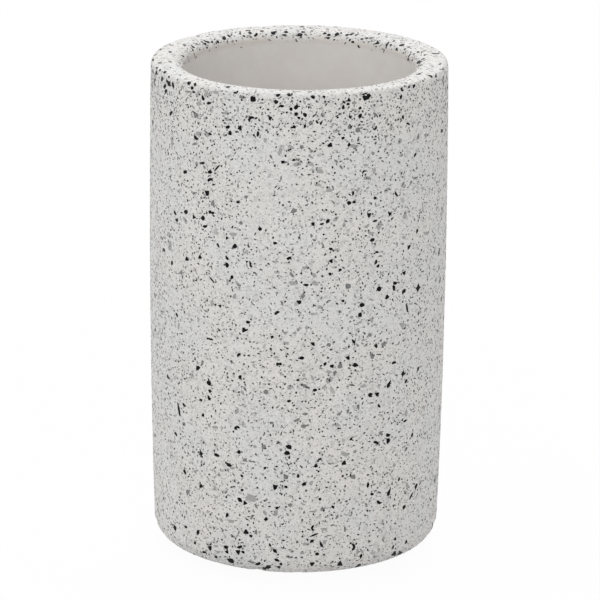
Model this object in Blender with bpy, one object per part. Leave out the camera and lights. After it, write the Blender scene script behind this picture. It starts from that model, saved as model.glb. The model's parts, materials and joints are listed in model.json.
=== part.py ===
"""A toothbrush holder: a round open tumbler cast in terrazzo, on four stick-on feet.

Blender 4.5, in metres, +Z up. The origin is on the surface that the tumbler stands on,
on the tumbler's own axis, and the front is -Y.
"""

import math

import bpy

# The casting's outside
BODY_HEIGHT = 0.1182  # underside to rim
RIM_RADIUS = 0.03515
BASE_TAPER = 0.0009  # how much smaller the radius is at the underside than at the rim
WALL_BULGE = 0.0007  # how far the wall swells past a straight taper at half height
RIM_ROUNDING = 0.0013
BASE_ROUNDING = 0.0051

# The well that the brushes stand in
WALL_THICKNESS = 0.0077  # at the rim
FLOOR_THICKNESS = 0.009
WELL_DRAFT = math.radians(0.6)  # the core narrows downwards so that it draws out
LIP_WIDTH = 0.004  # the lip falls off into the well in a quarter of an ellipse
LIP_DROP = 0.0024
FLOOR_FILLET = 0.0055

# A rounding never takes more of the wall or the floor than this
RIM_WALL_SHARE = 0.3
LIP_WALL_SHARE = 0.6
BASE_FLOOR_SHARE = 0.8

# The feet, soft discs that are stuck to the underside
FOOT_RADIUS = 0.0045
FOOT_HEIGHT = 0.0015
FOOT_ROUNDING = 0.0009
FOOT_INSET = 0.003  # from the foot's side to where the underside starts to round
ADHESIVE_GAP = 0.0003  # the film of adhesive between foot and underside

# Each foot and its bearing round the axis, counted from +X
FOOT_BEARINGS = {
    "foot_back_right": math.radians(45),
    "foot_back_left": math.radians(135),
    "foot_front_left": math.radians(225),
    "foot_front_right": math.radians(315),
}

# How finely the curves are cut
BODY_TURN_STEPS = 96
FOOT_TURN_STEPS = 32
WALL_STEPS = 12
BASE_ARC_STEPS = 8
RIM_ARC_STEPS = 4
LIP_ARC_STEPS = 7
FILLET_ARC_STEPS = 6
FOOT_ARC_STEPS = 4
MERGE_DISTANCE = 0.00001  # joins the turned profile's ends where they meet on the axis

TERRAZZO_COLOUR = (0.60, 0.585, 0.56)
TERRAZZO_ROUGHNESS = 0.62
FOOT_COLOUR = (0.70, 0.70, 0.68)
FOOT_ROUGHNESS = 0.45


def clear_scene():
    for item in list(bpy.data.objects):
        bpy.data.objects.remove(item, do_unlink=True)


def principled(name, colour, roughness):
    """A non-metal material of one colour."""
    material = bpy.data.materials.new(name)
    material.use_nodes = True
    material.diffuse_color = (*colour, 1.0)
    shader = material.node_tree.nodes["Principled BSDF"]
    shader.inputs["Base Color"].default_value = (*colour, 1.0)
    shader.inputs["Roughness"].default_value = roughness
    shader.inputs["Metallic"].default_value = 0.0
    return material


def arc(centre, width, height, start, end, steps):
    """Points of an ellipse's arc in the plane of the profile, with angles from +X to +Z."""
    points = []
    for step in range(steps + 1):
        angle = start + (end - start) * step / steps
        points.append((centre[0] + width * math.cos(angle), centre[1] + height * math.sin(angle)))
    return points


def round_arc(centre, radius, start, end, steps):
    return arc(centre, radius, radius, start, end, steps)


def wall_radius(height):
    """The outer radius at a height over the underside: a straight taper plus a shallow parabola."""
    share = height / BODY_HEIGHT
    straight = RIM_RADIUS - BASE_TAPER * (1 - share)
    return straight + WALL_BULGE * 4 * share * (1 - share)


def wall_normal(height):
    """The angle of the outer wall's normal, which points down where the wall widens upwards."""
    share = height / BODY_HEIGHT
    slope = (BASE_TAPER + WALL_BULGE * 4 * (1 - 2 * share)) / BODY_HEIGHT
    return -math.atan(slope)


def well_radius(height):
    """The well's radius at a height over the underside, before its two ends are rounded."""
    return RIM_RADIUS - WALL_THICKNESS - (BODY_HEIGHT - height) * math.tan(WELL_DRAFT)


def well_points():
    """From the middle of the well's floor, out through the fillet and up over the lip."""
    lip_width = min(LIP_WIDTH, LIP_WALL_SHARE * WALL_THICKNESS)
    fillet_centre_height = FLOOR_THICKNESS + FLOOR_FILLET
    fillet_end = fillet_centre_height - FLOOR_FILLET * math.sin(WELL_DRAFT)
    fillet_centre = (
        well_radius(fillet_end) - FLOOR_FILLET * math.cos(WELL_DRAFT),
        fillet_centre_height,
    )
    lip_angle = math.atan(math.tan(WELL_DRAFT) * LIP_DROP / lip_width)
    lip_centre_height = BODY_HEIGHT - LIP_DROP
    lip_start = lip_centre_height + LIP_DROP * math.sin(lip_angle)
    lip_centre = (
        well_radius(lip_start) + lip_width * math.cos(lip_angle),
        lip_centre_height,
    )
    floor_middle = [(0.0, FLOOR_THICKNESS)]
    fillet = round_arc(fillet_centre, FLOOR_FILLET, -math.pi / 2, -WELL_DRAFT, FILLET_ARC_STEPS)
    lip = arc(lip_centre, lip_width, LIP_DROP, math.pi - lip_angle, math.pi / 2, LIP_ARC_STEPS)
    return floor_middle + fillet + lip


def outside_points():
    """From the flat of the rim, over its outer edge, down the wall and in to the underside's middle."""
    rim_rounding = min(RIM_ROUNDING, RIM_WALL_SHARE * WALL_THICKNESS)
    base_rounding = min(BASE_ROUNDING, BASE_FLOOR_SHARE * FLOOR_THICKNESS)
    rim_angle = wall_normal(BODY_HEIGHT - rim_rounding)
    base_angle = wall_normal(base_rounding)
    wall_top = BODY_HEIGHT - rim_rounding + rim_rounding * math.sin(rim_angle)
    wall_foot = base_rounding + base_rounding * math.sin(base_angle)
    rim_centre = (
        wall_radius(wall_top) - rim_rounding * math.cos(rim_angle),
        BODY_HEIGHT - rim_rounding,
    )
    base_centre = (
        wall_radius(wall_foot) - base_rounding * math.cos(base_angle),
        base_rounding,
    )
    rim_edge = round_arc(rim_centre, rim_rounding, math.pi / 2, rim_angle, RIM_ARC_STEPS)
    wall = []
    for step in range(1, WALL_STEPS):
        height = wall_top + (wall_foot - wall_top) * step / WALL_STEPS
        wall.append((wall_radius(height), height))
    base_edge = round_arc(base_centre, base_rounding, base_angle, -math.pi / 2, BASE_ARC_STEPS)
    underside_middle = [(0.0, 0.0)]
    return rim_edge + wall + base_edge + underside_middle


def foot_points():
    """From the middle of the stuck face, down the side and round to the middle of the sole."""
    rounding = min(FOOT_ROUNDING, FOOT_HEIGHT)
    sole_centre = (FOOT_RADIUS - rounding, rounding)
    sole_edge = round_arc(sole_centre, rounding, 0.0, -math.pi / 2, FOOT_ARC_STEPS)
    return [(0.0, FOOT_HEIGHT), (FOOT_RADIUS, FOOT_HEIGHT)] + sole_edge + [(0.0, 0.0)]


def profile_mesh(name, points, material):
    """The profile as a chain of edges in the XZ plane."""
    mesh = bpy.data.meshes.new(name)
    edges = [(number, number + 1) for number in range(len(points) - 1)]
    mesh.from_pydata([(radius, 0.0, height) for radius, height in points], edges, [])
    mesh.materials.append(material)
    return mesh


def turned(name, mesh, steps, place, parent):
    """An object that turns a profile a full circle round its own Z axis."""
    item = bpy.data.objects.new(name, mesh)
    bpy.context.scene.collection.objects.link(item)
    item.parent = parent
    item.location = place
    screw = item.modifiers.new("turn", "SCREW")
    screw.axis = "Z"
    screw.angle = math.tau
    screw.steps = steps
    screw.render_steps = steps
    screw.use_merge_vertices = True
    screw.merge_threshold = MERGE_DISTANCE
    screw.use_smooth_shade = True
    return item


def make_body(holder):
    terrazzo = principled("terrazzo", TERRAZZO_COLOUR, TERRAZZO_ROUGHNESS)
    mesh = profile_mesh("tumbler_body", well_points() + outside_points(), terrazzo)
    place = (0.0, 0.0, FOOT_HEIGHT + ADHESIVE_GAP)
    turned("tumbler_body", mesh, BODY_TURN_STEPS, place, holder)


def make_feet(holder):
    soft_plastic = principled("foot", FOOT_COLOUR, FOOT_ROUGHNESS)
    mesh = profile_mesh("foot", foot_points(), soft_plastic)
    underside_radius = wall_radius(0.0) - BASE_ROUNDING
    ring = underside_radius - FOOT_INSET - FOOT_RADIUS
    for name, bearing in FOOT_BEARINGS.items():
        place = (ring * math.cos(bearing), ring * math.sin(bearing), 0.0)
        turned(name, mesh, FOOT_TURN_STEPS, place, holder)


def main():
    clear_scene()
    holder = bpy.data.objects.new("toothbrush_holder", None)
    bpy.context.scene.collection.objects.link(holder)
    make_body(holder)
    make_feet(holder)


main()
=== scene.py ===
"""The looks of a toothbrush holder: a tumbler cast in terrazzo, on four soft feet.

Blender 4.5, in metres, +Z up, with the front towards -Y.
"""

import json
import math
import random

import bpy
from mathutils import Matrix, Vector

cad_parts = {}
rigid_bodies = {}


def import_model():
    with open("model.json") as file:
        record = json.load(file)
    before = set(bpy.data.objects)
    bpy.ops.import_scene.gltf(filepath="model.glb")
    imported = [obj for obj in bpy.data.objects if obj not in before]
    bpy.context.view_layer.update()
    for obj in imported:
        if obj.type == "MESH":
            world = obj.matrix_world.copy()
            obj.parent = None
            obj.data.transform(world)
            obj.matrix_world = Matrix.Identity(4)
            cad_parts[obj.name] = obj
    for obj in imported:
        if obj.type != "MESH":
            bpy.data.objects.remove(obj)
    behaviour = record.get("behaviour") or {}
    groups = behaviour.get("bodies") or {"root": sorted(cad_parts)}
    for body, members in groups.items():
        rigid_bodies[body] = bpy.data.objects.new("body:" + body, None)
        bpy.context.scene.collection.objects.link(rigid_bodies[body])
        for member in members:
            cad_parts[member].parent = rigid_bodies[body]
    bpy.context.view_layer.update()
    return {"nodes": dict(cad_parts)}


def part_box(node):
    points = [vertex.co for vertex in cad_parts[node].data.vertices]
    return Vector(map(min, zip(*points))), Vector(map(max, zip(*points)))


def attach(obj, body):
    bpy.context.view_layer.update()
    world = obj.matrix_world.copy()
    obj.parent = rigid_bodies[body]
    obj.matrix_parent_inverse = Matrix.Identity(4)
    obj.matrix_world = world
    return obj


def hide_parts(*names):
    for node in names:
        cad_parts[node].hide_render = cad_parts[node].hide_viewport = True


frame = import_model()


# The camera stands a metre in front, looks down at the tumbler's middle from a little above,
# and leans by half a degree. Its place was fitted to the outline and to the rim in the photograph.
CAMERA_DISTANCE = 1.0288
CAMERA_HEIGHT_ANGLE = math.radians(16.98)
CAMERA_LEAN = 0.0089
CAMERA_AIM = Vector((0.00059, 0.0, 0.06026))
CAMERA_ORBIT_CENTRE = Vector((0.0, 0.0, 0.06))
LENS = 0.257  # focal length, for a sensor 36 mm wide
SENSOR_WIDTH = 0.036
MILLIMETRES = 1000.0  # in a metre
NEAREST_SEEN = 0.01
FARTHEST_SEEN = 20.0

camera_data = bpy.data.cameras.new("camera")
camera_data.sensor_width = SENSOR_WIDTH * MILLIMETRES
camera_data.lens = LENS * MILLIMETRES
camera_data.clip_start = NEAREST_SEEN
camera_data.clip_end = FARTHEST_SEEN
camera = bpy.data.objects.new("camera", camera_data)
bpy.context.scene.collection.objects.link(camera)

camera_place = CAMERA_ORBIT_CENTRE + CAMERA_DISTANCE * Vector(
    (0.0, -math.cos(CAMERA_HEIGHT_ANGLE), math.sin(CAMERA_HEIGHT_ANGLE))
)
camera_forward = (CAMERA_AIM - camera_place).normalized()
camera_level = camera_forward.cross(Vector((0.0, 0.0, 1.0))).normalized()
camera_upright = camera_level.cross(camera_forward)
camera_right = math.cos(CAMERA_LEAN) * camera_level + math.sin(CAMERA_LEAN) * camera_upright
camera_up = math.cos(CAMERA_LEAN) * camera_upright - math.sin(CAMERA_LEAN) * camera_level
camera_axes = Matrix((camera_right, camera_up, -camera_forward)).transposed()
camera.matrix_world = Matrix.Translation(camera_place) @ camera_axes.to_4x4()
bpy.context.scene.camera = camera


# The casting: light grey cement paste with crushed stone in it, poured into a mould round a core
# that narrows downwards. It was ground and honed outside, on the rim and over the lip by hand,
# so it waves by a few hundredths of a millimetre, and its edges carry small nicks.
RIM_RADIUS = 0.03515
BASE_TAPER = 0.0009  # how much smaller the radius is at the underside than at the rim
WALL_BULGE = 0.0007  # how far the wall swells past a straight taper at half height
RIM_ROUNDING = 0.0013
BASE_ROUNDING = 0.0051
WALL_THICKNESS = 0.0077
FLOOR_THICKNESS = 0.009
WELL_DRAFT = math.radians(0.6)
LIP_WIDTH = 0.004  # the lip falls off into the well in a quarter of an ellipse
LIP_DROP = 0.0024
FLOOR_FILLET = 0.0055
PASTE_WEAR = 0.00003  # honing takes the soft paste down by this, and leaves the stone
GROUND_FADE = 0.0022  # the height over which the honed lip passes into the plain well
UNDER_LIP = 0.004  # the part of the well under the lip that has its rows close together
PLAIN_SHARE = 0.4  # the texture's fineness in the well and on the underside, next to the outside's

TURN_STEPS = 640
WALL_STEPS = 66
BASE_STEPS = 22
UNDERSIDE_STEPS = 8
RIM_STEPS = 5
RIM_FLAT_STEPS = 7
LIP_STEPS = 12
WELL_STEPS = 14
UNDER_LIP_STEPS = 10
FILLET_STEPS = 8
FLOOR_STEPS = 3

underside_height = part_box("tumbler_body")[0].z
BODY_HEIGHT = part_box("tumbler_body")[1].z - underside_height


def wall_radius(height):
    """The outer radius at a height over the underside: a straight taper plus a shallow parabola."""
    share = height / BODY_HEIGHT
    return RIM_RADIUS - BASE_TAPER * (1 - share) + WALL_BULGE * 4 * share * (1 - share)


def wall_normal(height):
    """The angle of the outer wall's normal over the level."""
    share = height / BODY_HEIGHT
    return -math.atan((BASE_TAPER + WALL_BULGE * 4 * (1 - 2 * share)) / BODY_HEIGHT)


def well_radius(height):
    return RIM_RADIUS - WALL_THICKNESS - (BODY_HEIGHT - height) * math.tan(WELL_DRAFT)


def arc(centre, width, height, start, end, steps):
    """Points of an ellipse's arc in the plane of the profile, with angles from outwards to up."""
    angles = [start + (end - start) * step / steps for step in range(steps + 1)]
    return [
        (centre[0] + width * math.cos(angle), centre[1] + height * math.sin(angle))
        for angle in angles
    ]


def straight(start, end, steps):
    """The points between two ends, without the ends."""
    return [
        (
            start[0] + (end[0] - start[0]) * step / steps,
            start[1] + (end[1] - start[1]) * step / steps,
        )
        for step in range(1, steps)
    ]


def casting_profile():
    """From the middle of the well's floor, over the rim and down to the middle of the underside."""
    fillet_end = FLOOR_THICKNESS + FLOOR_FILLET * (1 - math.sin(WELL_DRAFT))
    fillet_centre = (
        well_radius(fillet_end) - FLOOR_FILLET * math.cos(WELL_DRAFT),
        FLOOR_THICKNESS + FLOOR_FILLET,
    )
    fillet = arc(
        fillet_centre, FLOOR_FILLET, FLOOR_FILLET, -math.pi / 2, -WELL_DRAFT, FILLET_STEPS
    )
    lip_angle = math.atan(math.tan(WELL_DRAFT) * LIP_DROP / LIP_WIDTH)
    lip_start = BODY_HEIGHT - LIP_DROP * (1 - math.sin(lip_angle))
    lip_centre = (
        well_radius(lip_start) + LIP_WIDTH * math.cos(lip_angle),
        BODY_HEIGHT - LIP_DROP,
    )
    lip = arc(lip_centre, LIP_WIDTH, LIP_DROP, math.pi - lip_angle, math.pi / 2, LIP_STEPS)
    rim_angle = wall_normal(BODY_HEIGHT - RIM_ROUNDING)
    wall_top = BODY_HEIGHT - RIM_ROUNDING * (1 - math.sin(rim_angle))
    rim_centre = (
        wall_radius(wall_top) - RIM_ROUNDING * math.cos(rim_angle),
        BODY_HEIGHT - RIM_ROUNDING,
    )
    rim = arc(rim_centre, RIM_ROUNDING, RIM_ROUNDING, math.pi / 2, rim_angle, RIM_STEPS)
    base_angle = wall_normal(BASE_ROUNDING)
    wall_foot = BASE_ROUNDING * (1 + math.sin(base_angle))
    base_centre = (
        wall_radius(wall_foot) - BASE_ROUNDING * math.cos(base_angle),
        BASE_ROUNDING,
    )
    base = arc(base_centre, BASE_ROUNDING, BASE_ROUNDING, base_angle, -math.pi / 2, BASE_STEPS)
    heights = [wall_top + (wall_foot - wall_top) * n / WALL_STEPS for n in range(1, WALL_STEPS)]
    wall = [(wall_radius(height), height) for height in heights]
    floor_middle = (0.0, FLOOR_THICKNESS)
    underside_middle = (0.0, 0.0)
    under_lip = (well_radius(lip_start - UNDER_LIP), lip_start - UNDER_LIP)
    return (
        [floor_middle]
        + straight(floor_middle, fillet[0], FLOOR_STEPS)
        + fillet
        + straight(fillet[-1], under_lip, WELL_STEPS)
        + [under_lip]
        + straight(under_lip, lip[0], UNDER_LIP_STEPS)
        + lip
        + straight(lip[-1], rim[0], RIM_FLAT_STEPS)
        + rim
        + wall
        + base
        + straight(base[-1], underside_middle, UNDERSIDE_STEPS)
        + [underside_middle]
    )


def keep_on(mesh, name, values, domain="POINT"):
    """Keeps a number or a vector for each point, or for each corner, of a mesh."""
    if isinstance(values[0], (int, float)):
        mesh.attributes.new(name, "FLOAT", domain).data.foreach_set("value", values)
    else:
        parts = [part for vector in values for part in vector]
        mesh.attributes.new(name, "FLOAT_VECTOR", domain).data.foreach_set("vector", parts)


def profile_mesh(points):
    """The profile as loose vertices.

    Each keeps the way out of the stone, how far it is ground and its place along the texture.
    """
    mesh = bpy.data.meshes.new("casting_profile")
    out = []
    ground = []
    along = []
    for number, (radius, height) in enumerate(points):
        before = points[max(number - 1, 0)]
        after = points[min(number + 1, len(points) - 1)]
        length = math.dist(before, after)
        out.append(Vector(((before[1] - after[1]) / length, 0.0, (after[0] - before[0]) / length)))
        in_well = radius < RIM_RADIUS - WALL_THICKNESS + LIP_WIDTH and height >= FLOOR_THICKNESS
        honed = (height - BODY_HEIGHT + LIP_DROP + GROUND_FADE / 2) / GROUND_FADE
        ground.append(min(max(honed, 0.0), 1.0) if in_well else 1.0)
        plain = ground[-1] < 0.5 or (before[1] == 0.0 and height == 0.0)
        step = math.dist(before, (radius, height)) * (PLAIN_SHARE if plain else 1.0)
        along.append(along[-1] + step if along else 0.0)
    places = [
        Vector((radius, 0.0, height + underside_height)) - PASTE_WEAR * way
        for (radius, height), way in zip(points, out)
    ]
    mesh.from_pydata(places, [], [])
    keep_on(mesh, "out", out)
    keep_on(mesh, "ground", ground)
    keep_on(mesh, "along", [length / along[-1] for length in along])
    return mesh


class Wire:
    """A node's output. Arithmetic on it adds Math nodes to its tree."""

    def __init__(self, socket):
        self.socket = socket

    def __getitem__(self, output):
        """Another output of the same node."""
        return Wire(socket_of(self.socket.node.outputs, output))

    def maths(self, operation, *values):
        inputs = dict(enumerate(values))
        return Bench(self.socket.id_data).add("ShaderNodeMath", {"operation": operation}, inputs)

    def rounded_down(self):
        return self.maths("FLOOR", self)

    def __add__(self, other):
        return self.maths("ADD", self, other)

    def __radd__(self, other):
        return self.maths("ADD", other, self)

    def __sub__(self, other):
        return self.maths("SUBTRACT", self, other)

    def __rsub__(self, other):
        return self.maths("SUBTRACT", other, self)

    def __mul__(self, other):
        return self.maths("MULTIPLY", self, other)

    def __rmul__(self, other):
        return self.maths("MULTIPLY", other, self)

    def __truediv__(self, other):
        return self.maths("DIVIDE", self, other)

    def __rtruediv__(self, other):
        return self.maths("DIVIDE", other, self)

    def __pow__(self, other):
        return self.maths("POWER", self, other)

    def __lt__(self, other):
        return self.maths("LESS_THAN", self, other)

    def __gt__(self, other):
        return self.maths("GREATER_THAN", self, other)


def socket_of(sockets, key):
    """A node's socket by its number, or the one in use by its name."""
    if isinstance(key, int):
        return sockets[key]
    return next(socket for socket in sockets if socket.name == key and socket.enabled)


class Bench:
    """Adds nodes to a tree, of materials and of Geometry Nodes alike."""

    def __init__(self, tree):
        self.tree = tree

    def add(self, kind, settings=None, inputs=None):
        """A node with its settings made first, then the values or wires of its inputs."""
        node = self.tree.nodes.new(kind)
        for setting, value in (settings or {}).items():
            setattr(node, setting, value)
        for key, value in (inputs or {}).items():
            socket = socket_of(node.inputs, key)
            for one in value if isinstance(value, list) else [value]:
                if isinstance(one, Wire):
                    self.tree.links.new(one.socket, socket)
                else:
                    socket.default_value = one
        return Wire(next((socket for socket in node.outputs if socket.enabled), None))

    def vector(self, operation, *values):
        settings = {"operation": operation}
        return self.add("ShaderNodeVectorMath", settings, dict(enumerate(values)))

    def parts(self, vector):
        """A vector's three parts, as X, Y and Z."""
        return self.add("ShaderNodeSeparateXYZ", {}, {"Vector": vector})

    def scaled(self, vector, factor):
        return self.add(
            "ShaderNodeVectorMath", {"operation": "SCALE"}, {0: vector, "Scale": factor}
        )

    def ease(self, value, start, end):
        """0 up to start and 1 from end on, with a smooth rise between them."""
        return self.add(
            "ShaderNodeMapRange",
            {"interpolation_type": "SMOOTHSTEP"},
            {"Value": value, "From Min": start, "From Max": end},
        )

    def blend(self, factor, start, end):
        """A colour between two others."""
        return self.add(
            "ShaderNodeMix", {"data_type": "RGBA"}, {"Factor": factor, "A": start, "B": end}
        )

    def noise(self, place, scale, detail=2.0, roughness=0.5):
        inputs = {"Vector": place, "Scale": scale, "Detail": detail, "Roughness": roughness}
        return self.add("ShaderNodeTexNoise", {}, inputs)

    def cells(self, place, scale, feature="F1"):
        inputs = {"Vector": place, "Scale": scale}
        return self.add("ShaderNodeTexVoronoi", {"feature": feature}, inputs)

    def kept(self, name, kind="FLOAT"):
        """An attribute that the geometry carries."""
        return self.add("GeometryNodeInputNamedAttribute", {"data_type": kind}, {"Name": name})

    def keep(self, geometry, name, value, kind="FLOAT", domain="POINT"):
        return self.add(
            "GeometryNodeStoreNamedAttribute",
            {"data_type": kind, "domain": domain},
            {"Geometry": geometry, "Name": name, "Value": value},
        )

    def map_out(self, geometry, across, up):
        """Gives each face its place on the texture, so that the piece can be painted flat."""
        place = self.add("ShaderNodeCombineXYZ", {}, {"X": across, "Y": up})
        return self.keep(geometry, "OFBake", place, "FLOAT2", "CORNER")

    def random(self, low, high, seed):
        inputs = {"Min": low, "Max": high, "Seed": seed}
        return self.add("FunctionNodeRandomValue", {"data_type": "FLOAT"}, inputs)

    def bump(self, height, distance, strength):
        inputs = {"Height": height, "Distance": distance, "Strength": strength}
        return self.add("ShaderNodeBump", {}, inputs)

    def drive(self, shader, wires):
        """Feeds a shader's inputs with what changes over the surface."""
        for name, wire in wires.items():
            self.tree.links.new(wire.socket, shader.inputs[name])

    def finish(self, geometry, material):
        """Ends the tree: the geometry is made real and gets its material."""
        real = self.add("GeometryNodeRealizeInstances", {}, {"Geometry": geometry})
        inputs = {"Geometry": real, "Material": material}
        painted = self.add("GeometryNodeSetMaterial", {}, inputs)
        self.add("NodeGroupOutput", {}, {"Geometry": painted})
        return self.tree


def new_bench(name, inputs):
    """A Geometry Nodes tree with inputs of these kinds, and the wires of its inputs by name."""
    tree = bpy.data.node_groups.new(name, "GeometryNodeTree")
    tree.interface.new_socket("Geometry", in_out="OUTPUT", socket_type="NodeSocketGeometry")
    for kind, labels in inputs.items():
        for label in labels:
            tree.interface.new_socket(label, in_out="INPUT", socket_type="NodeSocket" + kind)
    bench = Bench(tree)
    first = bench.add("NodeGroupInput")
    return bench, {label: first[label] for labels in inputs.values() for label in labels}


def made(name, tree, start, values):
    """The piece that a tree makes out of a starting mesh, as a plain mesh at the origin."""
    piece = bpy.data.objects.new(name, start)
    bpy.context.scene.collection.objects.link(piece)
    modifier = piece.modifiers.new("make", "NODES")
    modifier.node_group = tree
    for socket in tree.interface.items_tree:
        if socket.in_out == "INPUT" and socket.name in values:
            modifier[socket.identifier] = values[socket.name]
    bpy.context.view_layer.update()
    seen = piece.evaluated_get(bpy.context.evaluated_depsgraph_get())
    mesh = bpy.data.meshes.new_from_object(seen)
    piece.modifiers.remove(modifier)
    mesh.name = name
    piece.data = mesh
    return piece


def new_material(name):
    """A material, the bench of its nodes and its shader."""
    material = bpy.data.materials.new(name)
    material.use_nodes = True
    return material, Bench(material.node_tree), material.node_tree.nodes["Principled BSDF"]


MERGE_DISTANCE = 0.000002  # joins the turned grid's seam and its two ends on the axis
RAGGED_SCALE = 900.0  # the fineness of the noise that makes a nick's edge ragged
RAGGED = 0.12
SMALLEST_NICK_SHARE = 0.4
NICKED_SHARE = 0.55  # of the places along an edge that could have a nick
RIM_NICK_SHARE = 0.4  # a nick at the rim is as deep as this share of one at the base
BASE_NICKS_FADE = (-0.002, 0.001)  # from and to which height over the base's rounding
RIM_NICKS_FADE = (-1.6, -0.6)  # from and to how many roundings over the top of the rim
BASE_NICKS_RADII = (RIM_RADIUS - 0.009, RIM_RADIUS - 0.007)
RIM_NICKS_RADII = (RIM_RADIUS - 0.004, RIM_RADIUS - 0.002)


def turning_tree(profile):
    """Turns the profile round Z, then waves and nicks the surface as hand work leaves it."""
    bench, given = new_bench(
        "turned_casting",
        {
            "Geometry": ["Geometry"],
            "Int": ["Turn Steps"],
            "Float": ["Wave Depth", "Wave Length", "Nick Depth", "Nick Spacing", "Nick Size"],
            "Material": ["Material"],
        },
    )
    profile_count = len(profile.vertices)
    around = given["Turn Steps"] + 1.0
    grid = bench.add(
        "GeometryNodeMeshGrid", {}, {"Vertices X": profile_count, "Vertices Y": around}
    )
    number = bench.add("GeometryNodeInputIndex")
    row = ((number + 0.5) / around).rounded_down()
    step = number - row * around
    turn = step * math.tau / given["Turn Steps"]

    def from_profile(field, kind):
        return bench.add(
            "GeometryNodeSampleIndex",
            {"data_type": kind},
            {"Geometry": given["Geometry"], "Value": field, "Index": row},
        )

    def turned(vector):
        return bench.add(
            "ShaderNodeVectorRotate",
            {"rotation_type": "Z_AXIS"},
            {"Vector": vector, "Angle": turn},
        )

    place = turned(from_profile(bench.add("GeometryNodeInputPosition"), "FLOAT_VECTOR"))
    out = turned(from_profile(bench.kept("out", "FLOAT_VECTOR"), "FLOAT_VECTOR"))
    ground = from_profile(bench.kept("ground"), "FLOAT")
    body = bench.keep(grid["Mesh"], "ground", ground)
    body = bench.keep(body, "out", out, "FLOAT_VECTOR")
    body = bench.add("GeometryNodeSetPosition", {}, {"Geometry": body, "Position": place})
    body = bench.keep(body, "along", from_profile(bench.kept("along"), "FLOAT"))
    body = bench.keep(body, "turned", step / given["Turn Steps"])
    body = bench.map_out(body, bench.kept("turned"), bench.kept("along"))
    body = bench.add(
        "GeometryNodeMergeByDistance", {}, {"Geometry": body, "Distance": MERGE_DISTANCE}
    )

    here = bench.add("GeometryNodeInputPosition")
    height = bench.parts(here)["Z"]
    wave = bench.noise(here, 1.0 / given["Wave Length"], 1.0)
    nick_cells = bench.cells(here, 1.0 / given["Nick Spacing"])
    nick_luck = bench.parts(nick_cells["Color"])
    ragged = RAGGED * (bench.noise(here, RAGGED_SCALE, 1.0) - 0.5)
    nick_reach = given["Nick Size"] / given["Nick Spacing"] * (SMALLEST_NICK_SHARE + nick_luck["X"])
    nick = 1.0 - bench.ease(nick_cells["Distance"] + ragged, 0.0, nick_reach)
    base_top = underside_height + BASE_ROUNDING
    near_base = 1.0 - bench.ease(height, *(base_top + over for over in BASE_NICKS_FADE))
    rim_top = underside_height + BODY_HEIGHT
    near_rim = bench.ease(height, *(rim_top + over * RIM_ROUNDING for over in RIM_NICKS_FADE))
    radius = bench.vector("LENGTH", bench.vector("MULTIPLY", here, (1.0, 1.0, 0.0)))["Value"]
    near_base = near_base * bench.ease(radius, *BASE_NICKS_RADII)
    near_rim = near_rim * bench.ease(radius, *RIM_NICKS_RADII)
    edge = (near_base + RIM_NICK_SHARE * near_rim) * (nick_luck["Y"] > 1.0 - NICKED_SHARE)
    honed = bench.kept("ground")
    sunk = given["Wave Depth"] * wave * honed + given["Nick Depth"] * nick * edge
    outward = bench.kept("out", "FLOAT_VECTOR")
    body = bench.add(
        "GeometryNodeSetPosition",
        {},
        {"Geometry": body, "Offset": bench.scaled(outward, -1.0 * sunk)},
    )
    body = bench.add("GeometryNodeSetShadeSmooth", {}, {"Geometry": body})
    return bench.finish(body, given["Material"])


PASTE_WARM = (0.740, 0.710, 0.685, 1.0)
PASTE_COOL = (0.700, 0.704, 0.686, 1.0)
PASTE_DULL = (0.672, 0.660, 0.642, 1.0)
WHITE_GRIT = (0.860, 0.855, 0.845, 1.0)
GREY_GRIT = (0.420, 0.418, 0.408, 1.0)
FLAKE_TINT = (0.470, 0.465, 0.455, 1.0)
SPECK_TINT = (0.170, 0.170, 0.166, 1.0)
# Painted shade: the tan of a darker band under the lip
LIP_SHADE_TAN = (0.600, 0.530, 0.460, 1.0)
# The well's cast paste: a little paler in itself, and painted lighter still as painted light
WELL_PALE_WITH_PAINTED_LIGHT = (0.790, 0.766, 0.740, 1.0)
WELL_DULL_WITH_PAINTED_LIGHT = (0.765, 0.738, 0.712, 1.0)
TINT_SCALE = 75.0
TINT_FADE = (0.4, 0.6)
CLOUD_SCALE = 130.0
MOTTLE_SCALE = 420.0
SAND_SCALE = 3000.0
DULL_PARTS = (0.3, 0.3, 0.4)  # of the cloud, the mottle and the sand in the dull places
DULL_FADE = (0.36, 0.58)
WARP_SCALE = 700.0
WARP = 0.0012  # bends the cells' borders out of the straight by up to this
FLAKES_PER_METRE = 760.0
FLAKE_SHARE = 0.28
FLAKE_EDGE = (0.08, 0.14)
FLAKE_STRENGTH = 0.1
FLAKE_SPREAD = 0.4
GRITS_PER_METRE = 3300.0
WHITE_SHARE = 0.12
WHITE_STRENGTH = 0.5
GREY_SHARE = 0.12
GREY_STRENGTH = 0.3
GREY_SPREAD = 0.6
SPECKS_PER_METRE = 1900.0
SPECK_SHARE = 0.65
SPECK_STRENGTH = 0.2
SPECK_SPREAD = 0.7
SPECK_REACH = 0.12
SPECK_REACH_SPREAD = 0.16
SPECK_EDGE = (0.0, 0.05)
# How the band of painted shade under the lip spreads, and how strong it is
LIP_SHADE_FADE = (0.3, 0.55)
LIP_SHADE_STRENGTH = 0.7
CAST_PARTS = (0.6, 0.4)  # of the cloud and the mottle in the well's plain paste
CAST_FADE = (0.4, 0.6)
PORES_PER_METRE = 900.0
PORE_SHARE = 0.15
PORE_REACH = (0.1, 0.22)
HEIGHT_PARTS = (0.5, 0.3, -1.5)  # of the sand, the mottle and the pores in the surface's height
PASTE_BUMP = 0.00002
PASTE_BUMP_STRENGTH = 0.6
CAST_ROUGHNESS = 0.7
HONED_ROUGHNESS = 0.58
ROUGHNESS_SPREAD = 0.15


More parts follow.
